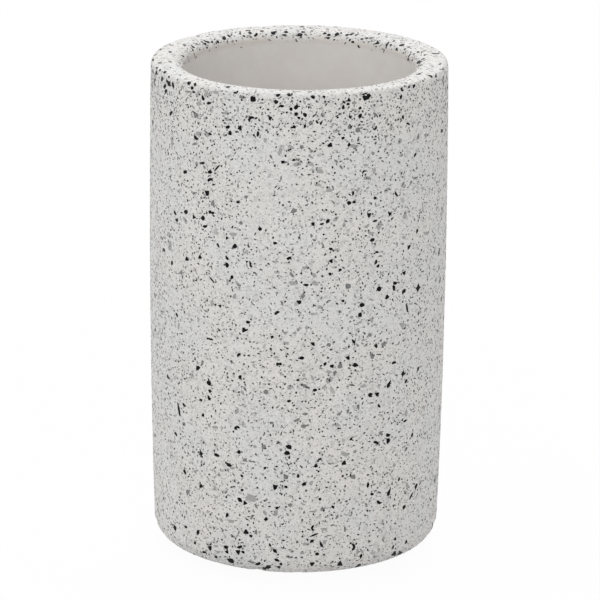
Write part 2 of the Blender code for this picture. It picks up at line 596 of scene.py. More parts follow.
def lucks(bench, cells):
    """Three chance values of a cell, each the same all over it."""
    return bench.add("ShaderNodeSeparateColor", {}, {"Color": cells["Color"]})


def summed(parts, patterns):
    """The sum of some patterns, each times its part."""
    return sum(part * pattern for part, pattern in zip(parts, patterns))


def paste_material():
    """Honed paste full of marble grit and stone dust, and plain cast paste in the well.

    Under the lip lies a tan band of painted shade. The well's cast paste, a little paler in
    itself, is painted lighter still: painted light.
    """
    material, bench, shader = new_material("terrazzo_paste")
    here = bench.add("ShaderNodeTexCoord")["Object"]
    ground = bench.add("ShaderNodeAttribute", {"attribute_name": "ground"})["Fac"]

    tint = bench.noise(here, TINT_SCALE, 2.0)
    cloud = bench.noise(here, CLOUD_SCALE, 3.0)
    mottle = bench.noise(here, MOTTLE_SCALE, 4.0, 0.6)
    sand = bench.noise(here, SAND_SCALE, 2.0, 0.7)
    honed = bench.blend(bench.ease(tint, *TINT_FADE), PASTE_COOL, PASTE_WARM)
    dull = 1.0 - bench.ease(summed(DULL_PARTS, (cloud, mottle, sand)), *DULL_FADE)
    honed = bench.blend(dull, honed, PASTE_DULL)

    warp = bench.scaled(bench.noise(here, WARP_SCALE, 1.0)["Color"], WARP)
    warped = bench.vector("ADD", here, warp)
    flake_luck = lucks(bench, bench.cells(warped, FLAKES_PER_METRE))
    flake_edge = bench.cells(warped, FLAKES_PER_METRE, "DISTANCE_TO_EDGE")
    flake = (flake_luck["Red"] > 1.0 - FLAKE_SHARE) * bench.ease(flake_edge, *FLAKE_EDGE)
    flake = flake * (FLAKE_STRENGTH + FLAKE_SPREAD * flake_luck["Green"])
    honed = bench.blend(flake, honed, FLAKE_TINT)

    grit_luck = lucks(bench, bench.cells(here, GRITS_PER_METRE))
    white = WHITE_STRENGTH * (grit_luck["Red"] > 1.0 - WHITE_SHARE)
    honed = bench.blend(white, honed, WHITE_GRIT)
    grey = (grit_luck["Red"] < GREY_SHARE) * (GREY_STRENGTH + GREY_SPREAD * grit_luck["Green"])
    honed = bench.blend(grey, honed, GREY_GRIT)

    speck_cells = bench.cells(warped, SPECKS_PER_METRE)
    speck_luck = lucks(bench, speck_cells)
    speck_reach = SPECK_REACH + SPECK_REACH_SPREAD * speck_luck["Green"]
    speck = 1.0 - bench.ease(speck_cells - speck_reach, *SPECK_EDGE)
    speck = (speck_luck["Red"] > 1.0 - SPECK_SHARE) * speck
    speck = speck * (SPECK_STRENGTH + SPECK_SPREAD * speck_luck["Blue"])
    honed = bench.blend(speck, honed, SPECK_TINT)

    # Painted shade: a darker tan band under the lip, fullest where the honing fades out
    lip_shade = ground * (1.0 - ground) * 4.0 * bench.ease(cloud, *LIP_SHADE_FADE)
    honed = bench.blend(LIP_SHADE_STRENGTH * lip_shade, honed, LIP_SHADE_TAN)

    # The well's paste, painted lighter: painted light in the well
    pale = bench.ease(summed(CAST_PARTS, (cloud, mottle)), *CAST_FADE)
    cast = bench.blend(pale, WELL_DULL_WITH_PAINTED_LIGHT, WELL_PALE_WITH_PAINTED_LIGHT)
    pore_cells = bench.cells(here, PORES_PER_METRE)
    pore = lucks(bench, pore_cells)["Red"] > 1.0 - PORE_SHARE
    pore = pore * (1.0 - bench.ease(pore_cells, *PORE_REACH))
    height = summed(HEIGHT_PARTS, (sand, mottle, pore))
    roughness = CAST_ROUGHNESS + (HONED_ROUGHNESS - CAST_ROUGHNESS) * ground
    bench.drive(
        shader,
        {
            "Base Color": bench.blend(ground, cast, honed),
            "Roughness": roughness + ROUGHNESS_SPREAD * (sand - 0.5),
            "Normal": bench.bump(height, PASTE_BUMP, PASTE_BUMP_STRENGTH),
        },
    )
    return material


profile = profile_mesh(casting_profile())
paste = made(
    "tumbler_paste",
    turning_tree(profile),
    profile,
    {
        "Turn Steps": TURN_STEPS,
        "Wave Depth": 0.00008,
        "Wave Length": 0.022,
        "Nick Depth": 0.0005,
        "Nick Spacing": 0.0042,
        "Nick Size": 0.0024,
        "Material": paste_material(),
    },
)
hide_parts("tumbler_body")
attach(paste, "root")


# The crushed stone that the grinding cut open: black basalt, grey slate and pale limestone.
# Each chip is a broken piece with a flat honed face that stands a hair proud of the paste, and
# its point is buried. Crushing leaves lumps, wedges, bars, splinters and hooked pieces.
CHIP_DEPTH = 0.45  # how deep a chip's point is buried, as a share of its size
CELL_MARGIN = 0.08  # the free room round a chip in its cell of the texture
HOOK_STEPS = 4
FORMS_SEED = 11

# How uneven the forms are. A turn is a share of the room between two corners, and a reach or a
# girth is a share of the form's own.
CRUSHED_TURN = 0.3
HOOK_END_GIRTH = 0.45
HOOK_GIRTHS = (0.75, 1.2)
WEDGE_BREAK = (0.12, 0.3)  # the half angle of a broken corner, in radians
WEDGE_REACH = (0.85, 1.15)
PRONG_TURN = 0.4
PRONG_REACH = (0.65, 1.2)
HOLLOW_REACH = (0.45, 0.75)
BAND_GIRTHS = (0.85, 1.15)

dice = random.Random(FORMS_SEED)


def crushed(corners, stretch, uneven):
    """A broken face: corners round an ellipse, each drawn in by chance."""
    outline = []
    for corner in range(corners):
        angle = (corner + dice.uniform(-CRUSHED_TURN, CRUSHED_TURN)) * math.tau / corners
        reach = 1.0 - uneven * dice.random()
        outline.append((stretch * reach * math.cos(angle), reach * math.sin(angle)))
    return outline


def hooked(bend, girth):
    """A bent piece, open downwards: out along the outside of an arc, and back along its inside."""
    outline = []
    for side in (1, -1):
        for step in range(HOOK_STEPS + 1):
            share = step / HOOK_STEPS if side == 1 else 1 - step / HOOK_STEPS
            angle = bend * (share - 0.5)
            thick = HOOK_END_GIRTH + (1.0 - HOOK_END_GIRTH) * math.sin(math.pi * share)
            thick = girth * thick * dice.uniform(*HOOK_GIRTHS)
            reach = 1.0 + side * thick / 2
            outline.append((reach * math.sin(angle), reach * math.cos(angle) - 1.0))
    return outline


def wedged():
    """A three-cornered piece that points up, with each corner broken off."""
    outline = []
    for corner in range(3):
        for side in (-1, 1):
            angle = math.tau * (corner / 3 + 0.25) + side * dice.uniform(*WEDGE_BREAK)
            reach = dice.uniform(*WEDGE_REACH)
            outline.append((reach * math.cos(angle), reach * math.sin(angle)))
    return outline


def pronged(prongs):
    """A piece with prongs, hollow between them."""
    outline = []
    for corner in range(2 * prongs):
        angle = (corner + dice.uniform(-PRONG_TURN, PRONG_TURN)) * math.pi / prongs
        reach = dice.uniform(*(PRONG_REACH if corner % 2 == 0 else HOLLOW_REACH))
        outline.append((reach * math.cos(angle), reach * math.sin(angle)))
    return outline


def banded(half_widths, length):
    """A long piece whose half width changes along it, from its left end to its right."""
    steps = len(half_widths) - 1
    top = []
    for step, half_width in enumerate(half_widths):
        top.append((length * (step / steps - 0.5), half_width * dice.uniform(*BAND_GIRTHS)))
    bottom = []
    for across, half_width in top[::-1]:
        bottom.append((across, -half_width * dice.uniform(*BAND_GIRTHS)))
    return top + bottom


SPLINTER_HALF_WIDTHS = (0.12, 0.22, 0.2, 0.12)
DROP_HALF_WIDTHS = (0.25, 0.5, 0.45, 0.25, 0.1)
WAISTED_HALF_WIDTHS = (0.3, 0.5, 0.28, 0.5, 0.3)


def chip_form(name, outline, cut, collection):
    """A closed chip of unit area: the honed face at the top and a point buried under it.

    The face is cut into strips for a bent shape, into wedges for a big one, or left whole. In the
    chip's cell of the texture, the face lies in the left half and the buried sides in the right.
    """
    twice_area = sum(
        x * after_y - after_x * y
        for (x, y), (after_x, after_y) in zip(outline, outline[1:] + outline[:1])
    )
    if twice_area < 0:
        outline = outline[::-1]
    scale = 1.0 / math.sqrt(abs(twice_area) / 2)
    middle_x = sum(x for x, y in outline) / len(outline)
    middle_y = sum(y for x, y in outline) / len(outline)
    points = [((x - middle_x) * scale, (y - middle_y) * scale, 0.0) for x, y in outline]
    count = len(points)
    point = count
    points.append((0.0, 0.0, -CHIP_DEPTH))
    faces = [(number, point, (number + 1) % count) for number in range(count)]
    if cut == "whole":
        faces.append(tuple(range(count)))
    elif cut == "strips":
        faces += [
            (number, number + 1, count - 2 - number, count - 1 - number)
            for number in range(count // 2 - 1)
        ]
    else:
        points.append((0.0, 0.0, 0.0))
        faces += [(number, (number + 1) % count, point + 1) for number in range(count)]
    mesh = bpy.data.meshes.new(name)
    mesh.from_pydata(points, [], faces)
    keep_on(mesh, "face", [0.0 if number == point else 1.0 for number in range(len(points))])
    left, right = min(x for x, y, z in points), max(x for x, y, z in points)
    bottom, top = min(y for x, y, z in points), max(y for x, y, z in points)
    cell_places = []
    for face in faces:
        half = 1.0 if point in face else 0.0
        for number in face:
            across = (points[number][0] - left) / (right - left)
            up = (points[number][1] - bottom) / (top - bottom)
            across = CELL_MARGIN + (1.0 - 2 * CELL_MARGIN) * across
            up = CELL_MARGIN + (1.0 - 2 * CELL_MARGIN) * up
            cell_places.append(((half + across) / 2, up, 0.0))
    keep_on(mesh, "cell_place", cell_places, "CORNER")
    collection.objects.link(bpy.data.objects.new(name, mesh))


def form_collection(name, outlines, cuts):
    """The forms of one kind of stone, kept out of the scene, and each shape's numbers of them."""
    collection = bpy.data.collections.new(name)
    numbers = {}
    for shape, outlines_of_shape in outlines.items():
        first = len(collection.objects)
        numbers[shape] = range(first, first + len(outlines_of_shape))
        for number, outline in zip(numbers[shape], outlines_of_shape):
            cut = cuts.get(shape, "wedges")
            chip_form(f"{name}_{number:02d}", outline, cut, collection)
    return collection, numbers


PIXELS = 600  # the photograph is as wide and as high as this
PIXEL_SIZE = SENSOR_WIDTH / PIXELS  # on the camera's sensor
LEAST_FACING = 0.25  # the surface is never taken as more askew than this


def placed_points(name, chips, numbers, tone):
    """Points for the chips that were read off the photograph, each where its pixel meets the paste.

    A chip is given as it looks: pixels across, pixels down, the square root of its area in
    millimetres and its turn in degrees. Where the surface is seen askew it looks shorter than it
    is, so half of that is made up for by its size and half by a stretch away from the camera.
    """
    rows = []
    for shape, chips_of_shape in chips.items():
        for order, (across, down, size, turn) in enumerate(chips_of_shape):
            right = (across - PIXELS / 2) * PIXEL_SIZE * camera_right
            up = (PIXELS / 2 - down) * PIXEL_SIZE * camera_up
            ray = (LENS * camera_forward + right + up).normalized()
            hit, place, out, _ = paste.ray_cast(camera_place, ray)
            if not hit:  # it was read a hair outside the outline
                continue
            facing = max(-out.dot(ray), LEAST_FACING)
            askew = (ray - ray.dot(out) * out).normalized()
            stretch = askew * math.sqrt(facing**-0.5 - 1.0)
            # The turn is laid on the surface as it is seen, and the stretch is taken off beforehand
            seen = math.cos(math.radians(turn)) * camera_right
            seen = seen + math.sin(math.radians(turn)) * camera_up
            along = seen + seen.dot(out) / facing * ray
            along = along - along.dot(stretch) * math.sqrt(facing) * stretch
            level = Vector((0.0, 0.0, 1.0)).cross(place).normalized()
            spin = math.atan2(along.dot(out.cross(level)), along.dot(level))
            form = numbers[shape][order % len(numbers[shape])]
            size = size / MILLIMETRES / facing**0.25
            rows.append((place, out, stretch, size, spin, form, tone))
    places, *columns = zip(*rows)
    mesh = bpy.data.meshes.new(name)
    mesh.from_pydata(places, [], [])
    for label, values in zip(("out", "stretch", "size", "spin", "form", "tone"), columns):
        keep_on(mesh, label, values)
    return bpy.data.objects.new(name, mesh)


FRONT_EDGE = -0.012  # in front of this the boldest chips are placed one by one
BARE_PLACE = (-0.0076, -0.0345, 0.097)  # the middle of a tall patch that has few chips
BARE_STRETCH = (1.0, 1.0, 0.4)  # makes the patch taller than it is wide
BARE_FADE = (0.002, 0.007)
BARE_SHARE = 0.35  # of the chips, left in the middle of the patch
CHIP_SPACING = 0.5  # the least room between strewn chips, as a share of their mean spacing
CHIP_SURPLUS = 2.0  # more points are tried, for those that have too little room
CROWD_RISE = (-0.016, -0.006)  # from and to which height over the top of the rim
CROWD_FALL = (-0.0015, -0.0005)  # the same
FLAT_RISE = (-0.001, -0.0002)  # the same
DRIFT_FADE = (0.38, 0.68)
LEAST_LUCK = 0.0001  # keeps a chip's size from growing without end
TONE_LIFT = 0.2  # pale chips are a little prouder, so that no two faces are level
FACE_ONLY = 0.75  # a point with more than this is on a chip's face, not on its buried sides


def chip_tree():
    """Strews chips over the ground face, turns and sizes them by chance and beds them in it."""
    bench, given = new_bench(
        "bedded_chips",
        {
            "Geometry": ["Geometry"],
            "Collection": ["Forms"],
            "Object": ["Placed"],
            "Material": ["Material"],
            "Int": ["Form Count", "Seed"],
            "Float": [
                "Chips Per Area",
                "Rim Crowding",
                "Rim Thinning",
                "Clustering",
                "Cluster Size",
                "Smallest",
                "Growth",
                "Bold Share",
                "Bold Growth",
                "Largest",
                "Largest In Front",
                "Proud",
            ],
        },
    )
    surface = given["Geometry"]
    here = bench.add("GeometryNodeInputPosition")
    height = bench.parts(here)["Z"]
    rim_top = underside_height + BODY_HEIGHT

    def near_rim(fade):
        return bench.ease(height, rim_top + fade[0], rim_top + fade[1])

    crowd = near_rim(CROWD_RISE) * (1.0 - near_rim(CROWD_FALL))
    drift = bench.noise(here, 1.0 / given["Cluster Size"], 2.0, 0.6)
    drift = bench.ease(drift, *DRIFT_FADE)
    most = given["Chips Per Area"] * (1.0 + given["Rim Crowding"])
    density = (1.0 + given["Rim Crowding"] * crowd) / (1.0 + given["Rim Crowding"])
    density = density * (1.0 - given["Rim Thinning"] * near_rim(FLAT_RISE))
    density = density * bench.kept("ground") ** 2.0
    density = density * (1.0 - given["Clustering"] * (1.0 - drift))
    from_bare = bench.vector("SUBTRACT", here, BARE_PLACE)
    from_bare = bench.vector("MULTIPLY", from_bare, BARE_STRETCH)
    beside = bench.ease(bench.vector("LENGTH", from_bare)["Value"], *BARE_FADE)
    density = density * (BARE_SHARE + (1.0 - BARE_SHARE) * beside)
    strewn = bench.add(
        "GeometryNodeDistributePointsOnFaces",
        {"distribute_method": "POISSON"},
        {
            "Mesh": surface,
            "Distance Min": CHIP_SPACING / most**0.5,
            "Density Max": CHIP_SURPLUS * most,
            "Density Factor": density,
            "Seed": given["Seed"],
        },
    )
    luck = bench.random(0.0, 1.0, given["Seed"] + 1.0)
    growth = luck.maths("LOGARITHM", luck + LEAST_LUCK, math.e)
    size = given["Smallest"] - given["Growth"] * growth
    in_front = bench.parts(here)["Y"] < FRONT_EDGE
    bold = (1.0 - in_front) * (bench.random(0.0, 1.0, given["Seed"] + 5.0) < given["Bold Share"])
    size = size * (1.0 + bold * (given["Bold Growth"] - 1.0))
    largest = given["Largest"] + in_front * (given["Largest In Front"] - given["Largest"])
    size = size.maths("MINIMUM", size, largest)
    points = bench.keep(strewn["Points"], "size", size)
    points = bench.keep(points, "spin", bench.random(0.0, math.tau, given["Seed"] + 2.0))
    points = bench.keep(points, "out", strewn["Normal"], "FLOAT_VECTOR")
    form = bench.random(0.0, 1.0, given["Seed"] + 3.0) * given["Form Count"] - 0.5
    points = bench.keep(points, "form", form)
    points = bench.keep(points, "tone", bench.random(0.0, 1.0, given["Seed"] + 4.0))
    placed = bench.add("GeometryNodeObjectInfo", {}, {"Object": given["Placed"]})["Geometry"]
    number = bench.add("GeometryNodeInputIndex")

    def counted(points, component):
        settings = {"component": component}
        sizes = bench.add("GeometryNodeAttributeDomainSize", settings, {"Geometry": points})
        return sizes["Point Count"]

    count = counted(points, "POINTCLOUD")
    placed_count = counted(placed, "MESH")
    points = bench.keep(points, "cell", number)
    placed = bench.keep(placed, "cell", number + count)
    placed = bench.keep(placed, "middle", here, "FLOAT_VECTOR")

    sideways = bench.vector("CROSS_PRODUCT", (0.0, 0.0, 1.0), here)
    upright = bench.add(
        "FunctionNodeAxesToRotation",
        {"primary_axis": "Z", "secondary_axis": "X"},
        {"Primary Axis": bench.kept("out", "FLOAT_VECTOR"), "Secondary Axis": sideways},
    )
    spin = bench.add("ShaderNodeCombineXYZ", {}, {"Z": bench.kept("spin")})
    rotation = bench.add(
        "FunctionNodeRotateRotation",
        {"rotation_space": "LOCAL"},
        {
            "Rotation": upright,
            "Rotate By": bench.add("FunctionNodeEulerToRotation", {}, {"Euler": spin}),
        },
    )
    forms = bench.add(
        "GeometryNodeCollectionInfo",
        {},
        {"Collection": given["Forms"], "Separate Children": True, "Reset Children": True},
    )

    def chips_on(points):
        instances = bench.add(
            "GeometryNodeInstanceOnPoints",
            {},
            {
                "Points": points,
                "Instance": forms,
                "Pick Instance": True,
                "Instance Index": bench.kept("form"),
                "Rotation": rotation,
                "Scale": bench.kept("size"),
            },
        )
        return bench.add("GeometryNodeRealizeInstances", {}, {"Geometry": instances})

    from_middle = bench.vector("SUBTRACT", here, bench.kept("middle", "FLOAT_VECTOR"))
    stretch = bench.kept("stretch", "FLOAT_VECTOR")
    offset = bench.scaled(stretch, bench.vector("DOT_PRODUCT", from_middle, stretch)["Value"])
    large = bench.add(
        "GeometryNodeSetPosition", {}, {"Geometry": chips_on(placed), "Offset": offset}
    )
    large = bench.add("GeometryNodeSubdivideMesh", {}, {"Mesh": large, "Level": 1})
    chips = bench.add("GeometryNodeJoinGeometry", {}, {"Geometry": [large, chips_on(points)]})

    def nearest(field):
        return bench.add(
            "GeometryNodeSampleNearestSurface",
            {"data_type": "FLOAT_VECTOR"},
            {"Mesh": surface, "Value": field, "Sample Position": here},
        )

    out = bench.vector("NORMALIZE", nearest(bench.kept("out", "FLOAT_VECTOR")))
    proud = given["Proud"] * (1.0 + TONE_LIFT * bench.kept("tone"))
    chips = bench.add(
        "GeometryNodeSetPosition",
        {},
        {
            "Geometry": chips,
            "Selection": bench.kept("face") > FACE_ONLY,
            "Position": bench.vector("ADD", nearest(here), bench.scaled(out, proud)),
        },
    )
    cells_across = (count + placed_count) ** 0.5
    cells_across = cells_across.maths("CEIL", cells_across)
    cell = bench.kept("cell")
    cell_row = ((cell + 0.5) / cells_across).rounded_down()
    cell_place = bench.parts(bench.kept("cell_place", "FLOAT_VECTOR"))
    across = (cell - cell_row * cells_across + cell_place["X"]) / cells_across
    up = (cell_row + cell_place["Y"]) / cells_across
    return bench.finish(bench.map_out(chips, across, up), given["Material"])


GRAIN_SCALE = 6000.0
TONE_PART = 0.7
GRAIN_PART = 0.6
GRAIN_ROUGHNESS = 0.15
GRAIN_BUMP = 0.000006
GRAIN_BUMP_STRENGTH = 0.5


def stone_material(name, dark, light, roughness, shine):
    """Dense stone: each chip has its own tone, with fine mineral grain in it."""
    material, bench, shader = new_material(name)
    shader.inputs["Specular IOR Level"].default_value = shine
    here = bench.add("ShaderNodeTexCoord")["Object"]
    tone = bench.add("ShaderNodeAttribute", {"attribute_name": "tone"})["Fac"]
    grain = bench.noise(here, GRAIN_SCALE, 2.0, 0.6)
    mineral = bench.ease(TONE_PART * tone + GRAIN_PART * (grain - 0.5), 0.0, 1.0)
    bench.drive(
        shader,
        {
            "Base Color": bench.blend(mineral, dark, light),
            "Roughness": roughness + GRAIN_ROUGHNESS * (grain - 0.5),
            "Normal": bench.bump(grain, GRAIN_BUMP, GRAIN_BUMP_STRENGTH),
        },
    )
    return material


chips_bedded = chip_tree()


def strew(name, outlines, cuts, material, values, placed=None, tone=0.0, rare=()):
    """Beds one kind of stone in the casting. Its rare shapes come last, and are only placed."""
    forms, numbers = form_collection(name + "_form", outlines, cuts)
    common = sum(len(numbers[shape]) for shape in outlines if shape not in rare)
    values = {**values, "Forms": forms, "Form Count": common, "Material": material}
    if placed:
        values["Placed"] = placed_points(name + "_placed", placed, numbers, tone)
    piece = made(name, chips_bedded, paste.data, values)
    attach(piece, "root")


# Black basalt, the boldest of the three, in every shape that crushing leaves. The boldest ones in
# front were read off the photograph one by one: pixels across and down, millimetres and degrees.
BOLD_BASALT = {
    "lump": [
        (366, 96, 1.75, 10), (278, 95, 0.8, 30), (313, 97, 0.85, 0), (360, 116, 0.85, 60),
        (330, 145, 0.95, 0), (228, 127, 0.8, 20), (230, 133, 0.85, 80), (296, 114, 0.8, 0),
        (282, 106, 0.7, 0), (210, 172, 0.85, 40), (185, 172, 0.75, 0), (207, 193, 1, 70),
        (328, 221, 0.85, 45), (283, 162, 0.75, 0), (210, 212, 0.7, 0), (275, 243, 0.7, 0),
        (227, 265, 0.9, -45), (372, 240, 0.8, 0), (387, 297, 0.85, 30), (404, 291, 0.85, 50),
        (362, 305, 0.95, 0), (360, 315, 0.9, 70), (248, 322, 0.75, 0), (198, 368, 0.9, 80),
        (355, 365, 1, 0), (332, 366, 0.8, -25), (302, 358, 0.85, 0), (209, 383, 1, -60),
        (370, 395, 0.9, 30), (388, 435, 0.85, 0), (289, 447, 1.1, 10), (287, 453, 1.05, -5),
        (304, 484, 0.85, 0), (240, 500, 0.95, -45), (315, 390, 0.75, 0), (201, 486, 0.75, 0),
        (226, 547, 0.85, 0), (231, 561, 1.2, -5), (268, 567, 0.9, 0), (264, 569, 0.85, 40),
        (275, 551, 0.85, -45), (228, 87, 0.65, 8), (253, 99, 1.25, 80), (296, 107, 0.95, 60),
        (305, 115, 0.85, -20), (286, 32, 0.7, 0), (337, 34, 0.85, 10), (165, 86, 0.7, 60),
        (166, 91, 0.65, 40), (192, 88, 0.65, 0), (194, 92, 0.5, 0), (299, 118, 0.6, 0),
        (348, 104, 0.6, 0), (360, 108, 0.6, 10), (305, 126, 0.65, 80), (343, 138, 0.65, 20),
        (375, 198, 0.65, 0), (238, 202, 0.65, -10), (213, 213, 0.6, 50), (354, 202, 0.65, 10),
        (313, 224, 0.75, 80), (331, 249, 0.7, -10), (378, 266, 0.65, 40), (340, 270, 0.65, 10),
        (395, 283, 0.8, 0), (343, 301, 0.6, 15), (240, 377, 0.75, 60), (210, 391, 0.7, -70),
        (201, 400, 0.6, 0), (203, 415, 0.65, 70), (272, 337, 0.65, 0), (289, 401, 0.7, 5),
        (348, 358, 0.8, 0), (325, 364, 0.7, 60), (351, 439, 0.6, 20), (242, 476, 0.6, -40),
        (265, 468, 0.6, 20), (242, 490, 0.6, 0), (298, 476, 0.7, 90), (286, 487, 0.65, 20),
        (277, 508, 0.65, 30), (266, 519, 0.8, 10), (186, 527, 0.6, -20), (198, 532, 0.8, 70),
        (195, 543, 0.6, 50), (204, 552, 0.65, 0), (227, 552, 0.7, 0), (243, 552, 0.65, -30),
        (251, 536, 0.65, -45), (279, 567, 0.6, 0), (316, 466, 0.7, 0), (388, 440, 0.8, 0),
        (372, 494, 0.65, 0), (333, 507, 0.65, -10), (317, 554, 0.75, 10), (212, 42, 0.5, -10),
        (218, 42, 0.6, -45), (224, 38, 0.85, 80), (240, 32, 0.35, 0), (244, 36, 0.5, -20),
        (250, 33, 0.65, 10), (347, 35, 0.6, 20), (356, 35, 0.4, 0), (353, 42, 0.6, 0),
        (391, 45, 0.45, 0), (418, 52, 0.45, 0), (419, 62, 0.8, 20), (408, 60, 0.35, 0),
        (423, 81, 0.35, 0), (341, 33, 0.4, 0),
    ],
    "round": [
        (276, 102, 0.85, 0), (291, 109, 0.7, 0), (186, 212, 0.85, 0), (203, 218, 0.9, 0),
        (349, 203, 0.85, 0), (235, 246, 0.9, 0), (379, 289, 1, 35), (239, 452, 0.8, 0),
        (260, 229, 0.8, 0), (232, 277, 0.7, 0), (330, 274, 0.65, 0), (320, 499, 0.6, 0),
        (216, 557, 0.6, 0), (281, 564, 0.6, 0), (189, 83, 0.8, 0), (165, 72, 0.6, 0),
    ],
    "wedge": [
        (349, 100, 0.75, 0), (270, 118, 0.75, 160), (240, 128, 0.85, -20), (294, 127, 0.7, 0),
        (187, 259, 0.8, 0), (200, 257, 0.75, 0), (299, 302, 0.85, 60), (244, 330, 0.95, -90),
        (377, 394, 0.85, 60), (344, 463, 0.9, 0), (245, 503, 0.8, 135), (246, 532, 1, 0),
        (238, 552, 0.95, 180), (312, 564, 0.9, 180), (340, 564, 1, 0), (394, 554, 0.95, 0),
        (400, 553, 0.85, 30), (177, 220, 0.65, -40), (194, 217, 0.7, 20), (404, 273, 0.7, 200),
        (324, 97, 0.6, 180), (331, 261, 0.8, 90), (220, 306, 0.6, 200), (395, 539, 0.6, 0),
    ],
    "bar": [
        (203, 98, 0.8, -65), (209, 103, 0.75, 10), (196, 138, 0.85, -52), (258, 134, 0.8, 75),
        (401, 97, 0.65, 75), (390, 214, 0.7, 60), (227, 258, 0.7, -50), (289, 258, 0.8, 25),
        (376, 262, 0.75, 65), (306, 285, 0.75, -8), (394, 288, 0.85, -80), (313, 344, 0.8, -40),
        (209, 398, 0.8, -60), (217, 455, 0.9, -25), (229, 465, 0.95, -32), (368, 485, 0.8, 75),
        (416, 486, 0.8, 70), (404, 507, 0.75, 60), (227, 515, 0.75, 80), (185, 472, 0.75, -65),
        (240, 547, 0.85, 12), (258, 564, 0.85, 15), (277, 560, 0.8, -20), (312, 541, 0.75, 35),
        (358, 566, 0.85, 35), (262, 31, 0.55, 0), (275, 32, 0.6, 0), (284, 35, 0.55, 0),
        (303, 32, 0.55, 0), (329, 35, 0.65, 0), (328, 38, 0.6, 0), (162, 79, 0.65, 75),
        (169, 84, 0.85, -65), (173, 85, 0.75, -85), (169, 77, 0.45, -70), (160, 70, 0.45, 85),
        (156, 73, 0.55, 80), (195, 84, 0.7, 85), (402, 90, 0.6, -50), (210, 134, 0.6, -35),
        (171, 113, 0.75, 60), (294, 160, 0.6, 5), (344, 102, 0.6, -35), (343, 107, 0.7, 80),
        (350, 117, 0.6, -70), (317, 122, 0.6, -65), (321, 123, 0.6, 65), (403, 117, 0.65, 90),
        (415, 155, 0.6, 70), (353, 193, 0.65, 80), (396, 194, 0.65, -65), (175, 213, 0.65, -70),
        (218, 245, 0.6, -60), (164, 250, 0.6, -60), (172, 263, 0.65, 90), (177, 315, 0.6, -70),
        (322, 224, 0.6, 15), (375, 221, 0.65, 15), (377, 252, 0.6, 0), (409, 247, 0.75, 60),
        (417, 231, 0.65, 80), (300, 302, 0.6, 85), (168, 377, 0.6, -75), (184, 405, 0.65, -55),
        (176, 434, 0.65, -60), (298, 380, 0.6, 0), (418, 369, 0.6, 85), (406, 381, 0.65, 60),
        (379, 406, 0.65, -65), (405, 421, 0.6, 25), (412, 435, 0.65, 80), (175, 528, 0.85, -75),
        (270, 545, 0.6, -60), (320, 459, 0.6, 5), (399, 479, 0.6, 70), (406, 542, 0.6, 60),
        (393, 547, 0.6, 70), (361, 556, 0.75, 75), (198, 36, 0.45, -10), (207, 32, 0.4, 10),
        (193, 47, 0.55, -35), (197, 44, 0.4, -35), (202, 42, 0.4, -25), (205, 44, 0.6, -40),
        (205, 41, 0.45, -25), (208, 42, 0.55, -20), (229, 36, 0.6, -45), (256, 35, 0.75, 35),
        (352, 34, 0.6, 30), (350, 40, 0.5, 45), (362, 39, 0.5, 10), (367, 38, 0.5, 5),
        (371, 38, 0.45, 20), (379, 34, 0.4, 30), (359, 47, 0.45, -20), (394, 41, 0.4, 15),
        (402, 45, 0.75, 15), (405, 49, 0.4, 35), (409, 47, 0.4, 25), (413, 41, 0.35, 15),
        (414, 54, 0.35, 30), (425, 55, 0.4, 30), (423, 59, 0.45, 30), (421, 65, 0.45, 30),
        (419, 74, 0.55, 8), (440, 64, 0.4, 15), (443, 69, 0.4, -5), (414, 86, 0.7, 60),
        (409, 87, 0.5, 60), (402, 88, 0.35, 20), (436, 76, 0.5, 80), (170, 52, 0.45, -30),
        (161, 49, 0.35, 5), (164, 46, 0.35, 10), (155, 55, 0.4, 20), (153, 60, 0.5, 85),
        (160, 63, 0.45, 5), (157, 68, 0.45, 80), (153, 71, 0.45, 85), (155, 80, 0.5, 75),
        (167, 81, 0.45, -70), (155, 85, 0.4, -75),
    ],
    "splinter": [
        (217, 168, 0.8, 48), (407, 308, 0.85, -83), (212, 280, 0.75, -52), (210, 339, 0.75, -17),
        (179, 410, 1.1, -80), (411, 496, 0.75, 65), (314, 535, 0.85, 22), (352, 385, 0.6, -5),
        (439, 252, 0.6, 85), (440, 280, 0.55, 85), (387, 45, 0.8, 62), (384, 51, 0.4, 75),
        (409, 56, 0.55, 60), (443, 79, 0.55, 85),
    ],
    "arch": [
        (210, 180, 0.85, 20), (205, 226, 0.75, 190), (277, 313, 0.85, 30), (239, 355, 0.75, 45),
        (376, 443, 0.9, -30), (379, 502, 0.85, 150), (408, 124, 0.6, -30), (394, 363, 0.75, 20),
        (430, 76, 0.75, -30),
    ],
    "hook": [
        (236, 92, 0.7, 200), (290, 94, 0.75, 190), (251, 119, 1, 40), (237, 428, 0.85, 15),
        (313, 528, 0.85, 90), (353, 547, 1, -90), (375, 128, 0.7, 220), (364, 172, 0.65, 40),
        (251, 265, 0.65, 100),
    ],
    "prongs": [
        (275, 487, 1.05, 20), (349, 145, 0.75, 0), (369, 215, 0.9, 30), (418, 288, 1.05, 0),
        (376, 346, 0.75, 60), (403, 374, 0.9, 0), (388, 441, 0.9, 20), (201, 454, 0.9, 0),
        (210, 548, 0.9, 40), (354, 342, 0.75, 30), (227, 238, 0.6, 0),
    ],
    "drop": [
        (202, 163, 0.75, 180), (389, 384, 1, 65), (389, 492, 1, 70), (321, 544, 0.85, 115),
    ],
    "waisted": [
        (279, 364, 0.9, 0),
    ],
}

